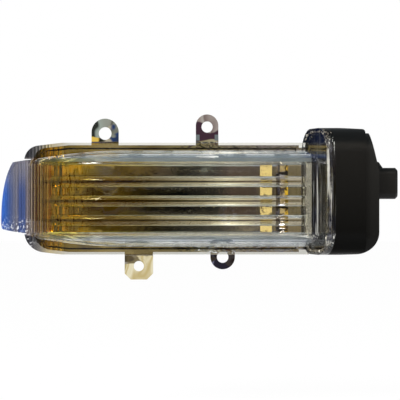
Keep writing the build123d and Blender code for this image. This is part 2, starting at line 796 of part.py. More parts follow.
def build_all():
    """Every piece by name."""
    pieces = {
        "outer_lens": make_outer_lens(),
        "light_guide": make_light_guide(),
        "housing": make_housing(),
        "end_housing": make_end_housing(),
        "socket_cover": make_socket_cover(),
        "cover_gasket": make_cover_gasket(),
        "circuit_board": make_circuit_board(),
        "thermal_pad": make_thermal_pad(),
        "heat_sink": make_heat_sink(),
        "board_screws": make_board_screws(),
        "driver_chip": on_board(chip_y, chip_z, chip_width, chip_height, chip_thickness),
        "protection_diode": on_board(diode_y, diode_z, diode_width, diode_height, diode_thickness),
        "input_capacitor": on_board(
            capacitor_y, capacitor_z, capacitor_width, capacitor_height, capacitor_thickness
        ),
        "resistors": make_resistors(),
        "vent_cap": make_vent_cap(),
        "vent_membrane": make_vent_membrane(),
    }
    for name, z in zip(("led_lower", "led_middle", "led_upper"), bar_heights):
        pieces[name] = make_led(z)
    for name, y in zip(("terminal_power", "terminal_ground"), terminal_ys):
        pieces[name] = terminal_blade(y)
    return pieces


datum = Pos(-outer_upper_x, 0, -outer_upper_z)
for node, shape in build_all().items():
    export_step(datum * shape, f"parts/{node}.step")
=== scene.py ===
import math

import bpy
import numpy as np
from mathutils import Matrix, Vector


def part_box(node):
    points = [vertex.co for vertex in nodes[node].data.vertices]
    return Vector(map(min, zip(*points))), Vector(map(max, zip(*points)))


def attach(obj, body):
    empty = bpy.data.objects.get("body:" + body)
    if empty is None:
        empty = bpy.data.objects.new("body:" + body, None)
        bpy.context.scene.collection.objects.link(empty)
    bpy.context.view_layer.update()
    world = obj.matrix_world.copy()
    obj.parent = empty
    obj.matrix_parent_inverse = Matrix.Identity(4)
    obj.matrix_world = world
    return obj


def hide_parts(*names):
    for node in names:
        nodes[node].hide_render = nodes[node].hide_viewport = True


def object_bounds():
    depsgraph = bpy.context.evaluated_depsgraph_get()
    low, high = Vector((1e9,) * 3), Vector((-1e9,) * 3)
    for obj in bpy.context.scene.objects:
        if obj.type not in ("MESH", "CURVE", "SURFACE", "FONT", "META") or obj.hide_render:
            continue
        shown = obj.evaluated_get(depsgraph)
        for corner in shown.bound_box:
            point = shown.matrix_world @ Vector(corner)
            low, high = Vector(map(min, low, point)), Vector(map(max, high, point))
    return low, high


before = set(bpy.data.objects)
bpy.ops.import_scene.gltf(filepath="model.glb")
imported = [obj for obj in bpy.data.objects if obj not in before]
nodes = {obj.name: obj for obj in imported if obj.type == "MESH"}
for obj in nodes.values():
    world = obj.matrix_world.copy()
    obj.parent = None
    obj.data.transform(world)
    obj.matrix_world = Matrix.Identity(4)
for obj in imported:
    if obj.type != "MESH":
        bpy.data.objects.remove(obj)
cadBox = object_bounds()
print("frame loaded:", len(nodes), "solids")

mm = 0.001
micron = 1e-6
white = (1.0, 1.0, 1.0)

# Camera: straight onto the side that shines
camera = dict(
    distance=0.700,       # from the ears' front face, metres
    frameWidth=0.172,     # what the picture spans at that face
    sensor=0.036,
    aimX=0.0408,
    aimZ=-0.0286,
    clip=(0.01, 20),
)


def makeCamera(c):
    data = bpy.data.cameras.new("photoCamera")
    data.sensor_width = c["sensor"] / mm
    data.lens = c["sensor"] / mm * c["distance"] / c["frameWidth"]
    data.clip_start, data.clip_end = c["clip"]
    obj = bpy.data.objects.new("photoCamera", data)
    obj.location = (c["aimX"], -c["distance"], c["aimZ"])
    obj.rotation_euler = (math.pi / 2, 0, 0)
    bpy.context.collection.objects.link(obj)
    bpy.context.scene.camera = obj


makeCamera(camera)

# Light: a bright room that is dark behind the camera, as the bright coating shows it
room = dict(
    fill=0.75,                          # what lights plain surfaces
    sideReach=0.13,                     # the side directions that the rows below span, -1 to 1
    middle=[                            # straight ahead, from the tip's side to the box's side
        (-0.13, (0.10, 0.055, 0.003)), (-0.065, (0.035, 0.024, 0.004)), (-0.045, (0.055, 0.04, 0.011)),
        (-0.032, (0.006, 0.006, 0.006)), (-0.01, (0.001, 0.002, 0.004)), (0.01, (0.03, 0.03, 0.032)),
        (0.02, (0.09, 0.066, 0.066)), (0.036, (0.07, 0.055, 0.048)), (0.06, (0.20, 0.17, 0.10)),
    ],
    justBelow=[                         # a little lower, as the upper panel shows it
        (-0.08, (0.22, 0.22, 0.32)), (-0.061, (0.12, 0.12, 0.20)), (-0.050, (0.07, 0.055, 0.03)),
        (-0.036, (0.13, 0.10, 0.05)), (-0.024, (0.075, 0.06, 0.055)), (-0.010, (0.03, 0.03, 0.025)),
        (-0.001, (0.06, 0.065, 0.07)), (0.004, (0.42, 0.50, 0.58)), (0.010, (0.03, 0.02, 0.015)),
        (0.020, (0.09, 0.05, 0.04)), (0.036, (0.18, 0.12, 0.07)), (0.06, (0.24, 0.20, 0.12)),
    ],
    justAbove=[                         # a little higher, as the lower panel shows it
        (-0.13, (0.20, 0.13, 0.03)), (-0.08, (0.08, 0.06, 0.02)), (-0.061, (0.055, 0.045, 0.018)),
        (-0.040, (0.05, 0.038, 0.016)), (-0.032, (0.006, 0.006, 0.005)), (-0.015, (0.004, 0.005, 0.004)),
        (0.009, (0.025, 0.025, 0.022)), (0.020, (0.07, 0.06, 0.05)), (0.027, (0.22, 0.19, 0.16)),
        (0.034, (0.12, 0.10, 0.085)), (0.06, (0.24, 0.19, 0.10)),
    ],
    rims=[                              # further up or down, as the rims show it
        (-0.10, (0.14, 0.12, 0.08)), (-0.055, (0.40, 0.37, 0.33)), (-0.03, (0.22, 0.18, 0.10)),
        (0.0, (0.36, 0.32, 0.18)), (0.03, (0.45, 0.43, 0.36)), (0.06, (0.50, 0.48, 0.42)),
    ],
    earTops=[                           # what the upper halves of the upper ears show
        (-0.0650, (0.03, 0.035, 0.03)), (-0.0635, (0.36, 0.42, 0.38)), (-0.0550, (0.30, 0.30, 0.26)),
        (-0.0535, (0.07, 0.07, 0.06)), (-0.0500, (0.34, 0.36, 0.30)), (0.0, (0.34, 0.28, 0.26)),
        (0.0045, (0.46, 0.43, 0.40)), (0.0060, (0.20, 0.15, 0.14)), (0.010, (0.36, 0.31, 0.29)),
    ],
    earFeet=[                           # what their lower halves show
        (-0.0625, (0.80, 0.55, 0.10)), (-0.0615, (0.015, 0.015, 0.012)), (-0.0570, (0.03, 0.03, 0.02)),
        (-0.0560, (0.50, 0.46, 0.34)), (-0.0535, (0.40, 0.36, 0.27)), (-0.0525, (0.02, 0.05, 0.16)),
        (-0.0480, (0.03, 0.04, 0.08)), (0.0, (0.06, 0.03, 0.045)),
    ],
    earsBelow=[                         # what the lower ears show
        (-0.046, (0.50, 0.42, 0.20)), (-0.040, (0.84, 0.76, 0.52)), (-0.035, (0.60, 0.48, 0.22)),
        (-0.028, (0.90, 0.84, 0.62)), (-0.014, (0.60, 0.52, 0.30)), (-0.006, (0.10, 0.10, 0.10)),
        (0.001, (0.30, 0.36, 0.50)), (0.006, (2.0, 2.2, 2.7)), (0.011, (0.20, 0.20, 0.25)),
    ],
    steep=[                             # up or down, more than the ears show
        (-0.12, (0.24, 0.14, 0.01)), (-0.061, (0.22, 0.15, 0.07)), (-0.045, (0.15, 0.10, 0.03)),
        (-0.02, (0.34, 0.31, 0.25)), (0.01, (0.72, 0.69, 0.63)), (0.05, (0.60, 0.56, 0.52)),
    ],
    ceiling=[                           # high up, as the bars' lower halves show it
        (-0.12, (0.24, 0.16, 0.02)), (-0.045, (0.36, 0.30, 0.18)), (0.0, (1.10, 1.04, 0.94)),
        (0.03, (1.25, 1.16, 1.02)), (0.06, (0.70, 0.63, 0.52)),
    ],
    ground=[                            # far down, as their upper halves show it
        (-0.12, (0.10, 0.07, 0.01)), (-0.045, (0.10, 0.08, 0.035)), (0.0, (0.70, 0.66, 0.59)),
        (0.03, (1.05, 0.98, 0.88)), (0.06, (0.70, 0.64, 0.56)),
    ],
    panelEdge=(0.009, 0.014),           # heights at which one row gives way to the next
    rimEdge=(0.026, 0.031),
    earEdge=(0.0345, 0.0365),
    earTopEdge=(0.0422, 0.0436),
    steepEdge=(0.058, 0.075),
    ceilingEdge=(0.30, 0.50),
    zenith=(0.17, 0.20, 0.21),
    zenithEdge=(0.62, 0.82),
    leftWall=(1.40, 1.14, 0.50),        # a bright wall with dark frames on it
    leftFrames=(0.12, 0.09, 0.06), frameScale=46, frameEdge=(0.54, 0.58),
    rightWall=(0.34, 0.33, 0.32),
    wallEdge=(0.35, 0.75),
    horizonEdge=(-0.15, 0.15),          # where all this gives way to what is behind the lamp
    backdropEdge=(0.05, 0.15),          # how far from straight behind the white sheet ends
    behind=(0.17, 0.19, 0.20),
    beside=[                            # to the left, from level with the lamp to far behind it
        (0.0, (0.24, 0.20, 0.17)), (0.30, (0.12, 0.11, 0.13)), (0.55, (0.05, 0.15, 0.55)),
        (0.72, (0.05, 0.20, 0.80)), (0.80, (0.015, 0.025, 0.07)), (1.0, (0.03, 0.04, 0.07)),
    ],
    besideEdge=(0.30, 0.50),
    # a light strip that runs up and over, and a bright window up and down to the left
    strip=dict(left=0.006, right=0.024, soft=0.009, low=0.22, high=0.36, power=2.4),
    window=dict(x=-0.46, y=-0.70, z=0.54, edge=(0.972, 0.986), power=8.0),
)
lamps = [
    dict(name="keyLamp", place=(-0.50, -0.75, 0.60), size=0.30, power=5.0),
    dict(name="fillLamp", place=(0.75, -0.65, 0.35), size=0.35, power=2.0),
]


def shaderTree(owner):
    owner.use_nodes = True
    tree = owner.node_tree
    tree.nodes.clear()
    return tree


def addNode(tree, kind, **settings):
    node = tree.nodes.new(kind)
    for key, value in settings.items():
        setattr(node, key, value)
    return node


def maths(tree, operation, a, b=None, c=None):
    node = addNode(tree, "ShaderNodeMath", operation=operation)
    for socket, value in zip(node.inputs, (a, b, c)):
        if value is None:
            continue
        if isinstance(value, bpy.types.NodeSocket):
            tree.links.new(value, socket)
        else:
            socket.default_value = value
    return node.outputs[0]


# One operation carried through all the values, from the first to the last
def fold(tree, operation, values):
    total, *others = values
    for other in others:
        total = maths(tree, operation, total, other)
    return total


def times(tree, *values):
    return fold(tree, "MULTIPLY", values)


def plus(tree, *values):
    return fold(tree, "ADD", values)


def oneMinus(tree, value):
    return maths(tree, "SUBTRACT", 1.0, value)


def farFrom(tree, value, middle):
    return maths(tree, "ABSOLUTE", maths(tree, "SUBTRACT", value, middle))


def mixColour(tree, factor, first, second, blend="MIX"):
    node = addNode(tree, "ShaderNodeMix", data_type="RGBA", blend_type=blend)
    for socket, value in ((node.inputs[0], factor), (node.inputs[6], first), (node.inputs[7], second)):
        if isinstance(value, bpy.types.NodeSocket):
            tree.links.new(value, socket)
        elif isinstance(value, (tuple, list)):
            socket.default_value = (*value, 1)
        else:
            socket.default_value = value
    return node.outputs[2]


def mixShaders(tree, factor, first, second):
    node = addNode(tree, "ShaderNodeMixShader")
    for socket, value in zip(node.inputs, (factor, first, second)):
        tree.links.new(value, socket)
    return node.outputs[0]


def colourRamp(tree, factor, stops):
    node = addNode(tree, "ShaderNodeValToRGB")
    ramp = node.color_ramp
    while len(ramp.elements) < len(stops):
        ramp.elements.new(0.5)
    for element, (position, colour) in zip(ramp.elements, stops):
        element.position = position
        element.color = (*colour, 1)
    tree.links.new(factor, node.inputs[0])
    return node.outputs[0]


# From 0 at low to 1 at high: a straight line, or another curve between the two
def rampUp(tree, value, low, high, curve="LINEAR"):
    node = addNode(tree, "ShaderNodeMapRange", interpolation_type=curve)
    tree.links.new(value, node.inputs[0])
    node.inputs[1].default_value, node.inputs[2].default_value = low, high
    return node.outputs[0]


# The same with soft ends, rising or falling
def above(tree, value, low, high):
    return rampUp(tree, value, low, high, "SMOOTHSTEP")


def below(tree, value, low, high):
    return above(tree, times(tree, value, -1.0), -high, -low)


# 1 between the two ends, each a pair of places where the fade starts and stops
def between(tree, value, rise, fall):
    return times(tree, above(tree, value, *rise), below(tree, value, *fall))


def spread(middle, reach):
    return middle - reach, middle + reach


def noise(tree, vector, scale, detail):
    node = addNode(tree, "ShaderNodeTexNoise")
    node.inputs["Scale"].default_value = scale
    node.inputs["Detail"].default_value = detail
    tree.links.new(vector, node.inputs["Vector"])
    return node.outputs[0]


# Colours in a row: the side direction from -reach to reach runs along the ramp
def sideRamp(tree, x, stops, reach):
    along = maths(tree, "MULTIPLY_ADD", x, 0.5 / reach, 0.5)
    return colourRamp(tree, along, [(0.5 + side * 0.5 / reach, colour) for side, colour in stops])


# What each direction x, y, z shows: rows of colour by height, walls by side, a sheet behind the lamp
def makeWorld(r):
    world = bpy.data.worlds.new("room")
    bpy.context.scene.world = world
    tree = shaderTree(world)
    coords = addNode(tree, "ShaderNodeTexCoord")
    split = addNode(tree, "ShaderNodeSeparateXYZ")
    tree.links.new(coords.outputs["Generated"], split.inputs[0])
    x, y, z = split.outputs
    down = times(tree, z, -1.0)
    left = times(tree, x, -1.0)
    height = maths(tree, "ABSOLUTE", z)

    def row(name):
        return sideRamp(tree, x, r[name], r["sideReach"])

    def over(colour, value, edge, other):
        return mixColour(tree, above(tree, value, *edge), colour, other)

    colour = over(row("middle"), z, r["panelEdge"], row("justAbove"))
    colour = over(colour, down, r["panelEdge"], row("justBelow"))
    colour = over(colour, height, r["rimEdge"], row("rims"))
    ears = over(row("earFeet"), z, r["earTopEdge"], row("earTops"))
    colour = over(colour, z, r["earEdge"], ears)
    colour = over(colour, down, r["earEdge"], row("earsBelow"))
    colour = over(colour, height, r["steepEdge"], row("steep"))
    colour = over(colour, z, r["ceilingEdge"], row("ceiling"))
    colour = over(colour, down, r["ceilingEdge"], row("ground"))
    frames = noise(tree, coords.outputs["Generated"], r["frameScale"], 1)
    leftWall = over(r["leftWall"], frames, r["frameEdge"], r["leftFrames"])
    colour = over(colour, left, r["wallEdge"], leftWall)
    colour = over(colour, x, r["wallEdge"], r["rightWall"])
    strip, window = r["strip"], r["window"]
    inside = between(tree, x, spread(strip["left"], strip["soft"]), spread(strip["right"], strip["soft"]))
    tall = above(tree, height, strip["low"], strip["high"])
    colour = mixColour(tree, 1.0, colour, times(tree, inside, tall, strip["power"]), "ADD")
    towards = plus(
        tree, times(tree, x, window["x"]), times(tree, y, window["y"]), times(tree, height, window["z"]),
    )
    glow = times(tree, above(tree, towards, *window["edge"]), window["power"])
    colour = mixColour(tree, 1.0, colour, glow, "ADD")
    colour = over(colour, height, r["zenithEdge"], r["zenith"])
    aside = maths(tree, "SQRT", plus(tree, times(tree, x, x), times(tree, z, z)))
    around = over(r["behind"], left, r["besideEdge"], colourRamp(tree, y, r["beside"]))
    colour = over(colour, y, r["horizonEdge"], over(white, aside, r["backdropEdge"], around))
    path = addNode(tree, "ShaderNodeLightPath")
    shiny = maths(tree, "MAXIMUM", path.outputs["Is Glossy Ray"], path.outputs["Is Transmission Ray"])
    lit = mixColour(tree, shiny, [r["fill"]] * 3, colour)
    background = addNode(tree, "ShaderNodeBackground")
    tree.links.new(mixColour(tree, path.outputs["Is Camera Ray"], lit, white), background.inputs[0])
    out = addNode(tree, "ShaderNodeOutputWorld")
    tree.links.new(background.outputs[0], out.inputs[0])


def makeLamp(l):
    data = bpy.data.lights.new(l["name"], "AREA")
    data.shape = "DISK"
    data.size, data.energy = l["size"], l["power"]
    obj = bpy.data.objects.new(l["name"], data)
    obj.location = l["place"]
    aim = np.array([camera["aimX"], 0, camera["aimZ"]]) - np.array(l["place"])
    flat = math.hypot(aim[0], aim[1])
    obj.rotation_euler = (math.pi / 2 + math.atan2(aim[2], flat), 0, math.atan2(-aim[0], aim[1]))
    bpy.context.collection.objects.link(obj)


makeWorld(room)
for lamp in lamps:
    makeLamp(lamp)
print("camera, room and lamps made")


def makeMesh(name, points, faces, smooth=True):
    mesh = bpy.data.meshes.new(name)
    mesh.from_pydata(points.tolist(), [], faces.tolist())
    mesh.update()
    obj = bpy.data.objects.new(name, mesh)
    bpy.context.collection.objects.link(obj)
    if smooth:
        mesh.polygons.foreach_set("use_smooth", [True] * len(mesh.polygons))
    return obj


def endWith(tree, shader):
    tree.links.new(shader, tree.get_output_node("ALL").inputs[0])


def principled(name, **values):
    mat = bpy.data.materials.new(name)
    tree = shaderTree(mat)
    bsdf = addNode(tree, "ShaderNodeBsdfPrincipled")
    addNode(tree, "ShaderNodeOutputMaterial")
    endWith(tree, bsdf.outputs[0])
    for key, value in values.items():
        bsdf.inputs[key].default_value = value
    return mat, tree, bsdf


# Floor: a pale sheet below the lamp that keeps its shadow; the camera sees it nearly white
floor = dict(drop=0.060, reach=3.0, frontEdge=-0.28, grey=0.9, glow=1.02, glowShare=0.9)


def makeFloor(f):
    z = cadBox[0][2] - f["drop"]
    r = f["reach"]
    y = f["frontEdge"]
    points = np.array([[-r, y, z], [r, y, z], [r, r, z], [-r, r, z]])
    obj = makeMesh("floor", points, np.array([[0, 1, 2, 3]]), smooth=False)
    mat = bpy.data.materials.new("paleFloor")
    tree = shaderTree(mat)
    diffuse = addNode(tree, "ShaderNodeBsdfDiffuse")
    diffuse.inputs[0].default_value = (f["grey"], f["grey"], f["grey"], 1)
    glow = addNode(tree, "ShaderNodeEmission")
    glow.inputs[1].default_value = f["glow"]
    path = addNode(tree, "ShaderNodeLightPath")
    addNode(tree, "ShaderNodeOutputMaterial")
    share = times(tree, path.outputs["Is Camera Ray"], f["glowShare"])
    endWith(tree, mixShaders(tree, share, diffuse.outputs[0], glow.outputs[0]))
    obj.data.materials.append(mat)


makeFloor(floor)


# The place on the object, in metres as one vector and in millimetres as x, y and z
def objectPlace(tree):
    coords = addNode(tree, "ShaderNodeTexCoord")
    inMm = addNode(tree, "ShaderNodeVectorMath", operation="SCALE")
    inMm.inputs["Scale"].default_value = 1 / mm
    split = addNode(tree, "ShaderNodeSeparateXYZ")
    tree.links.new(coords.outputs["Object"], inMm.inputs[0])
    tree.links.new(inMm.outputs[0], split.inputs[0])
    return coords.outputs["Object"], split.outputs


def trueNormal(tree):
    shape = addNode(tree, "ShaderNodeNewGeometry")
    split = addNode(tree, "ShaderNodeSeparateXYZ")
    tree.links.new(shape.outputs["True Normal"], split.inputs[0])
    return split.outputs


def bumpFrom(tree, bsdf, height, strength, depth):
    node = addNode(tree, "ShaderNodeBump")
    node.inputs["Strength"].default_value = strength
    node.inputs["Distance"].default_value = depth * mm
    tree.links.new(height, node.inputs["Height"])
    tree.links.new(node.outputs[0], bsdf.inputs["Normal"])


# Colours along one axis, each at its place in millimetres
def tintRow(tree, value, stops):
    low, high = stops[0][0], stops[-1][0]
    along = rampUp(tree, value, low, high)
    return colourRamp(tree, along, [((at - low) / (high - low), colour) for at, colour in stops])


# Noise drawn out along one axis: the place times a scale of its own for each axis
def streaks(tree, vector, scale, detail):
    node = addNode(tree, "ShaderNodeVectorMath", operation="MULTIPLY")
    tree.links.new(vector, node.inputs[0])
    node.inputs[1].default_value = scale
    return noise(tree, node.outputs[0], 1.0, detail)


# Upright ribs: a sine along x, faded in and out between start and end
def ribWaves(tree, x, r):
    wave = maths(tree, "SINE", times(tree, x, 2 * math.pi / r["pitch"]))
    inside = between(tree, x, spread(r["start"], r["fade"]), spread(r["end"], r["fade"]))
    return times(tree, wave, r["height"], inside)


# Clear pieces let light straight through where they would cast a shadow
def passShadows(tree, bsdf):
    clear = addNode(tree, "ShaderNodeBsdfTransparent")
    path = addNode(tree, "ShaderNodeLightPath")
    endWith(tree, mixShaders(tree, path.outputs["Is Shadow Ray"], bsdf.outputs[0], clear.outputs[0]))


# The light bars, millimetres: heights of their middles, and their front corners and bend
bars = dict(
    heights=(-37.12, -29.0, -20.88), pitch=8.12, corner=2.1, cornerY=-13.5, flat=0.2,
    bendX=7.3, bendY=36.0, near=0.03, facing=0.8,
)

# The box's slanting mouth: its x at the front, which is at y, what x gains for each millimetre
# towards the front, and how thick the lens's end plate is along x
boxMouth = dict(front=96.8, y=-28.0, slope=0.2962, thick=3.34)

# Lens: clear, with the colours that the photo shows in it; places and edges in millimetres
lens = dict(
    ior=1.49,
    # Painted reflections: the tip row tints the clear lens blue, grey and gold, over the tip and on into the
    # trough, and tipTop paints the tip's upper part grey
    tip=[                       # along the tip, from its end to the weld face
        (-47.0, (0.06, 0.20, 0.72)), (-44.0, (0.08, 0.18, 0.52)), (-42.0, (0.14, 0.18, 0.34)),
        (-38.4, (0.31, 0.29, 0.31)), (-36.8, (0.09, 0.14, 0.36)), (-34.6, (0.08, 0.13, 0.33)),
        (-33.4, (0.30, 0.25, 0.25)), (-29.0, (0.50, 0.40, 0.36)), (-27.0, (0.62, 0.48, 0.14)),
        (-20.0, (0.86, 0.70, 0.08)), (-12.0, (0.86, 0.74, 0.18)), (-2.0, (0.95, 0.93, 0.80)),
    ],
    tipEdge=(-33.0, -29.0),     # where the tip gives way to the trough
    tipWander=dict(scale=(500, 300, 18), reach=1.2),       # how unevenly its colours change
    tipTop=(0.34, 0.32, 0.34), tipTopEdge=(-27.0, -13.0), tipTopShare=0.8,
    tipHaze=0.30,
    # Painted reflection: the foot row tints the clear flange dark near the tip and gold further on, for what
    # shows through it
    foot=[                      # the flange on the housing's face, near the tip
        (-35.0, (0.03, 0.035, 0.05)), (-31.5, (0.10, 0.10, 0.12)), (-28.0, (0.30, 0.28, 0.26)),
        (-24.0, (0.75, 0.62, 0.36)), (-15.0, (0.85, 0.84, 0.78)),
    ],
    footFront=(-2.45, -2.35), footMiddle=-27.2, footBeyond=(16.2, 17.2),
    # Painted reflection: the side walls are tinted grey-blue and made a little hazy, for the sheen they show
    wall=(0.52, 0.60, 0.66), wallHaze=0.15, wallNormal=(0.90, 0.96), wallEdge=(-34, -30),
    # Painted highlights: near-white hazy lines along the walls at two depths
    paintedWallLines=dict(
        depths=(-3.0, -10.6), half=0.35, soft=0.35, scale=(160, 30, 30), edge=(0.36, 0.56),
        tint=(0.97, 0.97, 0.95), haze=0.65,
    ),
    # Painted shade: the lens's end plate is tinted nearly black, for the dark inside of the box behind it
    plate=(0.07, 0.06, 0.055), plateEdge=(-0.3, 0.2), plateNormal=(-0.9, -0.7),
    # Painted shade and highlights: the lens's end beyond the plate is tinted dark blue, with bright hazy
    # streaks painted on it as highlight lines
    end=dict(
        edge=(87.4, 87.9), dark=(0.05, 0.055, 0.09), line=(0.80, 0.80, 0.74), lineEdge=(0.56, 0.64),
        scale=(1500, 1500, 30), haze=0.55,
    ),
    # Painted glints: white hazy spots low on the tip
    paintedGlints=dict(heights=(-39.5, -34.5), edge=(0.56, 0.66), scale=700, tint=(0.95, 0.95, 0.95), haze=0.6),
    # Painted highlights and shade: light and dark stripes in the lens in front of the bars
    paintedBarLines=dict(
        stops=[                 # across one bar, from its lower neighbour's gap to the next
            (-4.06, 0.90), (-2.9, 0.90), (-2.5, 0.66), (-2.1, 0.95), (-1.0, 0.88), (-0.4, 0.46),
            (0.2, 0.50), (0.8, 0.98), (1.9, 1.0), (2.4, 0.68), (2.9, 0.90), (4.06, 0.90),
        ],
        powers=(1.0, 1.3, 2.0),                # what red, green and blue make of each shade
        start=(-29, -26), end=(-10, 4), reach=1.45,
    ),
    ribs=dict(start=-35.5, end=-23.5, fade=1.5, pitch=1.45, height=0.9),
    ripple=90, flow=(900, 900, 40), bump=0.6, depth=0.08,
)


# Painted highlight lines along the walls at the given depths, each fading in and out lengthways
def paintedWallLineMask(tree, vector, y, s):
    strength = above(tree, streaks(tree, vector, s["scale"], 1), *s["edge"])
    near = [below(tree, farFrom(tree, y, depth), s["half"], s["half"] + s["soft"]) for depth in s["depths"]]
    return times(tree, fold(tree, "MAXIMUM", near), strength)


# Painted highlights and shade: the bars' light and dark edges, tinted into the lens in front of them,
# repeated at their pitch and faded lengthways
def paintedBarShade(tree, place, b):
    pitch = bars["pitch"]
    phase = maths(tree, "MULTIPLY_ADD", place[2], 1 / pitch, 0.5 - bars["heights"][0] / pitch)
    stops = [(0.5 + off / pitch, [shade ** power for power in b["powers"]]) for off, shade in b["stops"]]
    shade = colourRamp(tree, maths(tree, "FRACT", phase), stops)
    onBars = maths(tree, "LESS_THAN", farFrom(tree, place[2], bars["heights"][1]), b["reach"] * pitch)
    return mixColour(tree, times(tree, between(tree, place[0], b["start"], b["end"]), onBars), white, shade)


# Where each part of the lens lies, and where the painted reflections, highlights and shade on it go, as
# shares from 0 to 1
def lensAreas(tree, vector, place, t):
    x, y, z = place
    normal = trueNormal(tree)
    onTip = below(tree, x, *t["tipEdge"])
    upright = above(tree, maths(tree, "ABSOLUTE", normal[2]), *t["wallNormal"])
    wall = times(tree, upright, above(tree, x, *t["wallEdge"]))
    foot = times(
        tree, above(tree, y, *t["footFront"]),
        above(tree, farFrom(tree, z, t["footMiddle"]), *t["footBeyond"]),
    )
    inner = boxMouth["front"] + boxMouth["slope"] * boxMouth["y"] - boxMouth["thick"]
    slant = maths(tree, "MULTIPLY_ADD", y, boxMouth["slope"], x)
    plate = times(
        tree, above(tree, slant, *(inner + off for off in t["plateEdge"])),
        above(tree, normal[1], *t["plateNormal"]),
    )
    end, glints = t["end"], t["paintedGlints"]
    atEnd = times(tree, above(tree, x, *end["edge"]), oneMinus(tree, plate))
    paintedEndLines = above(tree, streaks(tree, vector, end["scale"], 1), *end["lineEdge"])
    paintedGlintSpots = above(tree, noise(tree, vector, glints["scale"], 2), *glints["edge"])
    paintedGlintSpots = times(tree, paintedGlintSpots, below(tree, z, *glints["heights"]), onTip)
    paintedWallLines = times(tree, wall, paintedWallLineMask(tree, vector, y, t["paintedWallLines"]))
    return dict(onTip=onTip, wall=wall, paintedWallLines=paintedWallLines, foot=foot, plate=plate, atEnd=atEnd,
                paintedEndLines=paintedEndLines, paintedGlintSpots=paintedGlintSpots)


# The lens's colour: painted reflections, highlights and shade, each tinted into the clear plastic where it
# falls
def lensColour(tree, vector, place, t, area):
    wander = t["tipWander"]
    jitter = streaks(tree, vector, wander["scale"], 3)
    shift = maths(tree, "MULTIPLY_ADD", jitter, 2 * wander["reach"], -wander["reach"])
    tint = tintRow(tree, plus(tree, place[0], times(tree, shift, area["onTip"])), t["tip"])
    high = above(tree, place[2], *t["tipTopEdge"])
    tint = mixColour(tree, times(tree, high, area["onTip"], t["tipTopShare"]), tint, t["tipTop"])
    tint = mixColour(tree, 1.0, tint, paintedBarShade(tree, place, t["paintedBarLines"]), "MULTIPLY")
    tint = mixColour(tree, area["wall"], tint, t["wall"])
    tint = mixColour(tree, area["paintedWallLines"], tint, t["paintedWallLines"]["tint"])
    tint = mixColour(tree, area["foot"], tint, tintRow(tree, place[0], t["foot"]))
    tint = mixColour(tree, area["plate"], tint, t["plate"])
    paintedEndTint = mixColour(tree, area["paintedEndLines"], t["end"]["dark"], t["end"]["line"])
    tint = mixColour(tree, area["atEnd"], tint, paintedEndTint)
    return mixColour(tree, area["paintedGlintSpots"], tint, t["paintedGlints"]["tint"])


def makeLensFinish(t):
    mat, tree, bsdf = principled(
        "clearLens", **{"Transmission Weight": 1.0, "IOR": t["ior"], "Roughness": 0.0},
    )
    vector, place = objectPlace(tree)
    area = lensAreas(tree, vector, place, t)
    tree.links.new(lensColour(tree, vector, place, t, area), bsdf.inputs["Base Color"])
    # Haze lets the painted wall sheen, highlight lines and glints show bright
    haze = plus(
        tree,
        times(tree, area["wall"], t["wallHaze"]),
        times(tree, area["paintedWallLines"], t["paintedWallLines"]["haze"]),
        times(tree, area["paintedEndLines"], area["atEnd"], t["end"]["haze"]),
        times(tree, area["paintedGlintSpots"], t["paintedGlints"]["haze"]),
        times(tree, area["onTip"], above(tree, place[1], t["footFront"][1], 0.0), t["tipHaze"]),
    )
    tree.links.new(oneMinus(tree, haze), bsdf.inputs["Transmission Weight"])
    swirl = plus(
        tree, noise(tree, vector, t["ripple"], 3),
        times(tree, streaks(tree, vector, t["flow"], 2), area["onTip"]),
        ribWaves(tree, place[0], t["ribs"]),
    )
    bumpFrom(tree, bsdf, swirl, t["bump"], t["depth"])
    passShadows(tree, bsdf)
    return mat


# Light guide: clear, a little hazy in its end tie, with painted shade: a dark line along the middle of each
# bar at the tip's end
guide = dict(
    colour=(0.97, 0.965, 0.94), ior=1.53, tieStart=(85.1, 85.4), tieEnd=(87.6, 87.9), haze=0.14,
    paintedCentreShade=(0.30, 0.22, 0.09), paintedCentreEdge=(0.36, 0.71), paintedCentreStart=(-30, -25), paintedCentreEnd=(5, 60),
    ripple=90, bump=0.05, depth=0.4,
)


def makeGuideFinish(g):
    mat, tree, bsdf = principled(
        "clearGuide", **{"Transmission Weight": 1.0, "IOR": g["ior"], "Roughness": 0.0},
    )
    vector, place = objectPlace(tree)
    tie = between(tree, place[0], g["tieStart"], g["tieEnd"])
    tree.links.new(oneMinus(tree, times(tree, tie, g["haze"])), bsdf.inputs["Transmission Weight"])
    # Painted shade: a dark line along each bar's middle, faded lengthways
    fromLowest = maths(tree, "SUBTRACT", place[2], bars["heights"][0])
    off = maths(tree, "PINGPONG", fromLowest, bars["pitch"] / 2)
    lengthways = between(tree, place[0], g["paintedCentreStart"], g["paintedCentreEnd"])
    paintedCentreShade = times(tree, below(tree, off, *g["paintedCentreEdge"]), lengthways)
    tree.links.new(mixColour(tree, paintedCentreShade, g["colour"], g["paintedCentreShade"]), bsdf.inputs["Base Color"])
    bumpFrom(tree, bsdf, noise(tree, vector, g["ripple"], 3), g["bump"], g["depth"])
    passShadows(tree, bsdf)
    return mat


# The housing's bare grey back
bareBack = dict(dark=(0.030, 0.031, 0.033), light=(0.042, 0.043, 0.046), edge=(0.3, 0.7), scale=900,
                roughness=0.45, bump=0.2, depth=0.2)


def makeBareBack(tree, vector, b):
    bsdf = addNode(tree, "ShaderNodeBsdfPrincipled")
    grain = noise(tree, vector, b["scale"], 3)
    colour = colourRamp(tree, grain, list(zip(b["edge"], (b["dark"], b["light"]))))
    tree.links.new(colour, bsdf.inputs["Base Color"])
    bsdf.inputs["Roughness"].default_value = b["roughness"]
    bumpFrom(tree, bsdf, grain, b["bump"], b["depth"])
    return bsdf.outputs[0]


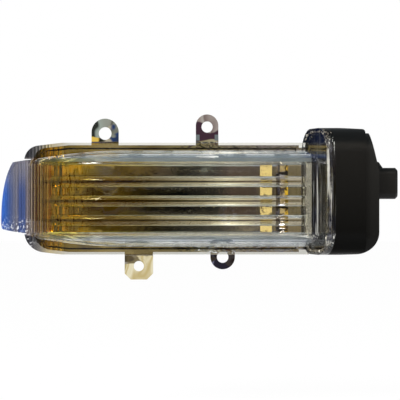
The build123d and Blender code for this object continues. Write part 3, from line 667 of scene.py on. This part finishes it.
# Bright coat on the front of the housing; places and edges in millimetres
coating = dict(
    # Painted reflection: the coat is tinted gold towards the tip and silver towards the box, for the warm and
    # pale surroundings it reflects
    tint=[                              # along the housing, from the tip to the box
        (-40.0, (0.88, 0.66, 0.14)), (-10.0, (0.88, 0.71, 0.26)), (12.0, (0.88, 0.78, 0.48)),
        (27.0, (0.86, 0.83, 0.76)), (62.0, (0.86, 0.83, 0.80)), (66.0, (0.80, 0.79, 0.86)),
    ],
    middleZ=-28.0, rimFrom=20.4, earFrom=(23.7, 24.5),     # how far from the middle rim and ears begin
    # Painted shade: the coat is tinted nearly black in the groove past the bowl
    groove=(0.25, 0.95), paintedGrooveShade=(0.03, 0.025, 0.02),
    # Painted reflection: the lower ears towards the box are tinted nearly black, for the dark they reflect
    earTint=(0.88, 0.87, 0.84), paintedDarkEar=dict(edge=(38, 42), tint=(0.10, 0.09, 0.11)),
    lowEars=(-40, -28),
    ripple=dict(height=0.08, scale=60, detail=2),
    earRipple=dict(height=0.08, lowHeight=0.40, scale=80, detail=1),
    glitter=dict(height=0.10, scale=420, detail=2, edge=(20, 60)),
    endWaves=dict(height=0.07, scale=260, detail=2, edge=(58, 70)),
    steps=dict(start=-27.5, end=-18.0, fade=0.8, pitch=2.1, height=1.0),
    depth=0.3, backNormal=(0.25, 0.5),
)


def waves(tree, vector, w, share):
    return times(tree, noise(tree, vector, w["scale"], w["detail"]), share)


def makeBrightCoat(c):
    mat, tree, bsdf = principled("brightCoat", **{"Metallic": 1.0, "Roughness": 0.0})
    vector, (x, y, z) = objectPlace(tree)
    fromMiddle = farFrom(tree, z, c["middleZ"])
    ears = above(tree, fromMiddle, *c["earFrom"])
    pastBowl = maths(tree, "GREATER_THAN", fromMiddle, c["rimFrom"])
    low = below(tree, z, *c["lowEars"])
    shallow, deep = c["groove"]
    # Painted shade in the groove: where y lies in the groove, past the bowl
    inGroove = times(
        tree, maths(tree, "GREATER_THAN", y, shallow), maths(tree, "LESS_THAN", y, deep), pastBowl,
    )
    tint = mixColour(tree, inGroove, tintRow(tree, x, c["tint"]), c["paintedGrooveShade"])
    tint = mixColour(tree, ears, tint, c["earTint"])
    # Painted dark reflection on the lower ears towards the box
    dark = times(tree, above(tree, x, *c["paintedDarkEar"]["edge"]), low, ears)
    tree.links.new(mixColour(tree, dark, tint, c["paintedDarkEar"]["tint"]), bsdf.inputs["Base Color"])

    earRipple, glitter, endWaves = c["earRipple"], c["glitter"], c["endWaves"]
    earHeight = maths(
        tree, "MULTIPLY_ADD", low, earRipple["lowHeight"] - earRipple["height"], earRipple["height"],
    )
    onRim = times(tree, pastBowl, oneMinus(tree, ears), above(tree, x, *glitter["edge"]))
    nearBox = above(tree, x, *endWaves["edge"])
    relief = plus(
        tree,
        waves(tree, vector, c["ripple"], c["ripple"]["height"]),
        waves(tree, vector, earRipple, times(tree, earHeight, ears)),
        ribWaves(tree, x, c["steps"]),
        waves(tree, vector, glitter, times(tree, onRim, glitter["height"])),
        waves(tree, vector, endWaves, times(tree, nearBox, endWaves["height"])),
    )
    bumpFrom(tree, bsdf, relief, 1.0, c["depth"])
    onBack = above(tree, trueNormal(tree)[1], *c["backNormal"])
    endWith(tree, mixShaders(tree, onBack, bsdf.outputs[0], makeBareBack(tree, vector, bareBack)))
    return mat


# Black plastics: the gloss pair gives the dull end and the shiny top, and the rise starts so far above the
# lamp's lowest point; this gloss rising with height is painted sheen, lighter on top and darker towards the
# bottom
blacks = dict(
    blackPlastic=dict(grey=0.003, roughness=0.30, paintedSheen=(0.02, 0.42)),
    blackCover=dict(grey=0.006, roughness=0.40, paintedSheen=(0.08, 0.42)),
)
blackGrain = dict(scale=2500, bump=0.15, depth=0.2, warmth=0.9, paintedSheenFrom=14)


def makeBlack(name, b, grain):
    mat, tree, bsdf = principled(name, **{"Roughness": b["roughness"]})
    bsdf.inputs["Base Color"].default_value = (b["grey"], b["grey"], b["grey"] * grain["warmth"], 1)
    vector, place = objectPlace(tree)
    # Painted sheen: the specular level rises with height, from the dull end to the shiny top
    dull, shiny = b["paintedSheen"]
    up = rampUp(tree, place[2], cadBox[0][2] / mm + grain["paintedSheenFrom"], cadBox[1][2] / mm)
    tree.links.new(maths(tree, "MULTIPLY_ADD", up, shiny - dull, dull), bsdf.inputs["Specular IOR Level"])
    bumpFrom(tree, bsdf, noise(tree, vector, grain["scale"], 2), grain["bump"], grain["depth"])
    return mat


clearLens = makeLensFinish(lens)
clearGuide = makeGuideFinish(guide)
brightCoat = makeBrightCoat(coating)
blackPlastic, blackCover = [makeBlack(name, b, blackGrain) for name, b in blacks.items()]

# Plain finishes: two colours mottled at a scale of so many spots for each metre
plainFinishes = dict(
    solderMask=dict(dark=(0.004, 0.045, 0.014), light=(0.010, 0.090, 0.030), scale=420, roughness=0.32),
    blackEpoxy=dict(dark=(0.010, 0.010, 0.011), light=(0.020, 0.020, 0.021), scale=2600, roughness=0.55),
    tanCeramic=dict(dark=(0.28, 0.17, 0.08), light=(0.36, 0.23, 0.12), scale=1800, roughness=0.45),
    brushedAluminium=dict(
        dark=(0.52, 0.53, 0.54), light=(0.74, 0.75, 0.76), scale=900, roughness=0.38, metal=1,
    ),
    zincSteel=dict(dark=(0.50, 0.50, 0.47), light=(0.66, 0.66, 0.62), scale=1500, roughness=0.30, metal=1),
    tinnedBrass=dict(dark=(0.62, 0.54, 0.34), light=(0.80, 0.74, 0.56), scale=1200, roughness=0.26, metal=1),
    softPad=dict(dark=(0.16, 0.19, 0.24), light=(0.22, 0.26, 0.31), scale=1400, roughness=0.80),
    softRing=dict(dark=(0.018, 0.018, 0.020), light=(0.034, 0.034, 0.036), scale=1600, roughness=0.75),
    whiteFilm=dict(dark=(0.62, 0.62, 0.60), light=(0.80, 0.80, 0.78), scale=2200, roughness=0.85),
)
mottle = dict(edge=(0.35, 0.65), bump=0.12, depth=0.2)


def makePlain(name, p):
    mat, tree, bsdf = principled(name, **{"Roughness": p["roughness"], "Metallic": p.get("metal", 0)})
    vector, _ = objectPlace(tree)
    grain = noise(tree, vector, p["scale"], 3)
    colour = colourRamp(tree, grain, list(zip(mottle["edge"], (p["dark"], p["light"]))))
    tree.links.new(colour, bsdf.inputs["Base Color"])
    bumpFrom(tree, bsdf, grain, mottle["bump"], mottle["depth"])
    return mat


# Light package: a pale body whose window floor, floorDepth behind the front, is yellow phosphor
package = dict(body=(0.70, 0.69, 0.64), glow=(0.85, 0.50, 0.04), floorDepth=0.2, roughness=0.4,
               speckle=3000, speckleShade=0.8, facing=-0.5)


def makePackageFinish(p):
    mat, tree, bsdf = principled("lightPackage", **{"Roughness": p["roughness"]})
    vector, place = objectPlace(tree)
    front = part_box("led_middle")[0][0] / mm
    sunk = maths(tree, "GREATER_THAN", place[0], front + p["floorDepth"])
    floorOnly = times(tree, sunk, maths(tree, "LESS_THAN", trueNormal(tree)[0], p["facing"]))
    dim = [p["speckleShade"] * part for part in p["glow"]]
    speckled = mixColour(tree, noise(tree, vector, p["speckle"], 2), p["glow"], dim)
    tree.links.new(mixColour(tree, floorOnly, p["body"], speckled), bsdf.inputs["Base Color"])
    return mat


plain = {name: makePlain(name, p) for name, p in plainFinishes.items()}
packageFinish = makePackageFinish(package)
finishes = dict(
    outer_lens=clearLens, light_guide=clearGuide, housing=brightCoat, end_housing=blackPlastic,
    socket_cover=blackCover, vent_cap=blackPlastic, cover_gasket=plain["softRing"],
    circuit_board=plain["solderMask"], driver_chip=plain["blackEpoxy"], protection_diode=plain["blackEpoxy"],
    resistors=plain["blackEpoxy"], input_capacitor=plain["tanCeramic"], heat_sink=plain["brushedAluminium"],
    thermal_pad=plain["softPad"], board_screws=plain["zincSteel"], terminal_power=plain["tinnedBrass"],
    terminal_ground=plain["tinnedBrass"], vent_membrane=plain["whiteFilm"], led_lower=packageFinish,
    led_middle=packageFinish, led_upper=packageFinish,
)
for name, obj in nodes.items():
    obj.data.materials.clear()
    obj.data.materials.append(finishes[name])
print("finishes set")

# Mouldings: the solids joined up, with smooth curves and small rounds on their edges, millimetres
mouldings = dict(
    lensMoulding=dict(node="outer_lens", slot="clear_lens", finish=clearLens, round=0.25, gap=0.03),
    guideMoulding=dict(node="light_guide", slot="clear_guide", finish=clearGuide, round=0, gap=0),
    brightMoulding=dict(node="housing", slot="bright_coat", finish=brightCoat, round=0.2, gap=0),
    boxMoulding=dict(node="end_housing", slot="black_plastic", finish=blackPlastic, round=0.5, gap=0),
    coverMoulding=dict(node="socket_cover", slot="black_cover", finish=blackCover, round=0.4, gap=0),
)
edges = dict(sharpFrom=32, roundFrom=50, segments=2)       # angles in degrees between two faces


def readAll(items, key, width, kind=float):
    values = np.empty(len(items) * width, dtype=kind)
    items.foreach_get(key, values)
    return values.reshape(-1, width)


# The solid's loose triangles joined up: corners that are equal to a micron become one
def joinedCopy(name, source):
    points = readAll(source.data.vertices, "co", 3)
    loops = readAll(source.data.loops, "vertex_index", 1, int)[:, 0]
    grid = np.round(points / micron).astype(np.int64)
    _, first, index = np.unique(grid, axis=0, return_index=True, return_inverse=True)
    faces = index.reshape(-1)[loops].reshape(-1, 3)
    proper = (faces != np.roll(faces, 1, axis=1)).all(axis=1)
    return makeMesh(name, points[first], faces[proper])


# The weld face keeps a hair's breadth from what it sits on: y = 0 becomes y = -gap
def partContact(obj, gap):
    points = readAll(obj.data.vertices, "co", 3)
    points[np.abs(points[:, 1]) < micron, 1] = -gap * mm
    obj.data.vertices.foreach_set("co", points.reshape(-1))
    obj.data.update()


# Normals of the bars' rounded front corners: each points away from its corner's centre line,
# which runs straight to bendX and then turns about the upright axis at bendX, bendY
def roundBars(obj, b):
    mesh = obj.data
    normals = readAll(mesh.corner_normals, "vector", 3)
    corner = readAll(mesh.loops, "vertex_index", 1, int)[:, 0]
    x, y, z = (readAll(mesh.vertices, "co", 3)[corner] / mm).T
    faces = np.repeat(readAll(mesh.polygons, "normal", 3), 3, axis=0)
    turn = np.where(x < b["bendX"], np.arctan2(b["bendX"] - x, b["bendY"] - y), 0)
    reach = np.where(x < b["bendX"], b["bendY"] - np.hypot(x - b["bendX"], y - b["bendY"]), y)
    front = reach - b["cornerY"]
    for height in b["heights"]:
        for side in (-1, 1):
            out = z - height - side * b["flat"]
            onArc = np.abs(np.hypot(out, front) - b["corner"]) < b["near"]
            ideal = np.stack([front * np.sin(turn), front * np.cos(turn), out], axis=1) / b["corner"]
            facing = (ideal * faces).sum(axis=1) > b["facing"]
            use = onArc & facing & (front < b["near"]) & (side * out > -b["near"])
            normals[use] = ideal[use]
    mesh.normals_split_custom_set(normals.tolist())
    print("bars rounded:", obj.name)


def makeMoulding(name, m):
    obj = joinedCopy(name, nodes[m["node"]])
    if m["gap"]:
        partContact(obj, m["gap"])
    obj.data.set_sharp_from_angle(angle=math.radians(edges["sharpFrom"]))
    if m["node"] == "light_guide":
        roundBars(obj, bars)
    if m["round"]:
        bevel = obj.modifiers.new("edgeRound", "BEVEL")
        bevel.width, bevel.segments = m["round"] * mm, edges["segments"]
        bevel.limit_method, bevel.angle_limit = "ANGLE", math.radians(edges["roundFrom"])
        bevel.use_clamp_overlap = True
        bevel.harden_normals = True
    obj.data.materials.append(m["finish"])
    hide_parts(m["node"])
    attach(obj, "root")


for name, m in mouldings.items():
    makeMoulding(name, m)
print("mouldings made")

# Weld bead: the uneven line of melt where the lens's end plate joins the box
weld = dict(
    middleY=-13.0, middleZ=-25.0, halfY=13.6, halfZ=25.1, corner=9.2, squareness=12, points=420, ring=10,
    thick=0.42, unevenThick=0.30, inPlate=1.9, wander=1.1, lumps=84, seed=4,
)
# Pale melt with painted glints and shade: its colour runs with noise from near black through grey to near
# white
meltWithGlints = dict(
    tint=[(0.38, (0.04, 0.04, 0.05)), (0.48, (0.45, 0.42, 0.36)), (0.60, (1.0, 0.96, 0.86))],
    ior=1.49, roughness=0.12, scale=700, bumpScale=1400, bump=0.5, depth=0.2,
)


def makeMeltWithGlints(m):
    mat, tree, bsdf = principled("weldMeltWithGlints", **{"IOR": m["ior"], "Roughness": m["roughness"]})
    vector, _ = objectPlace(tree)
    tree.links.new(colourRamp(tree, noise(tree, vector, m["scale"], 3), m["tint"]), bsdf.inputs["Base Color"])
    bumpFrom(tree, bsdf, noise(tree, vector, m["bumpScale"], 2), m["bump"], m["depth"])
    return mat


# Values from -1 to 1 round a loop: random knots, joined by cosine steps and closed on the first
def looseRow(count, knots, rng):
    values = rng.uniform(-1, 1, knots)
    t = np.arange(count) * knots / count
    step = 0.5 - 0.5 * np.cos(np.pi * (t % 1))
    first = t.astype(int)
    return values[first] * (1 - step) + values[(first + 1) % knots] * step


# A tube round a rounded rectangle in the slanting mouth plane. At angle t the path is the corner
# circle's point plus a straight run that grows with squareness times cos t and sin t, held to 1;
# x follows the mouth's slope, and both the radius and the depth in the plate vary with t
def makeWeldBead(w):
    rng = np.random.default_rng(w["seed"])
    n, ring, corner = w["points"], w["ring"], w["corner"]
    t = np.linspace(0, 2 * np.pi, n, endpoint=False)
    runs = np.array([w["halfY"] - corner, w["halfZ"] - corner])
    turn = np.stack([np.cos(t), np.sin(t)], axis=1)
    y, z = (runs * np.clip(turn * w["squareness"], -1, 1) + corner * turn).T
    depth = w["inPlate"] + w["wander"] * looseRow(n, w["lumps"], rng)
    radius = w["thick"] + w["unevenThick"] * looseRow(n, w["lumps"], rng)
    y, z = y + w["middleY"], z + w["middleZ"]
    x = boxMouth["front"] - (y - boxMouth["y"]) * boxMouth["slope"] - depth
    path = np.stack([x, y, z], axis=1)
    along = np.roll(path, -1, axis=0) - np.roll(path, 1, axis=0)
    along /= np.linalg.norm(along, axis=1, keepdims=True)
    outward = np.stack([np.zeros(n), turn[:, 0], turn[:, 1]], axis=1)
    sideways = np.cross(along, outward)
    sideways /= np.linalg.norm(sideways, axis=1, keepdims=True)
    outward = np.cross(sideways, along)
    a = np.linspace(0, 2 * np.pi, ring, endpoint=False)
    spokes = np.cos(a)[None, :, None] * outward[:, None] + np.sin(a)[None, :, None] * sideways[:, None]
    points = (path[:, None] + radius[:, None, None] * spokes).reshape(-1, 3) * mm
    i, j = np.meshgrid(np.arange(n), np.arange(ring), indexing="ij")
    nextI, nextJ = (i + 1) % n, (j + 1) % ring
    faces = np.stack([i * ring + j, i * ring + nextJ, nextI * ring + nextJ, nextI * ring + j], axis=-1)
    obj = makeMesh("weldBead", points, faces.reshape(-1, 4))
    obj.data.materials.append(makeMeltWithGlints(meltWithGlints))
    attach(obj, "root")


makeWeldBead(weld)
print("weld bead made")

scene = bpy.context.scene
scene.view_settings.view_transform = "Standard"
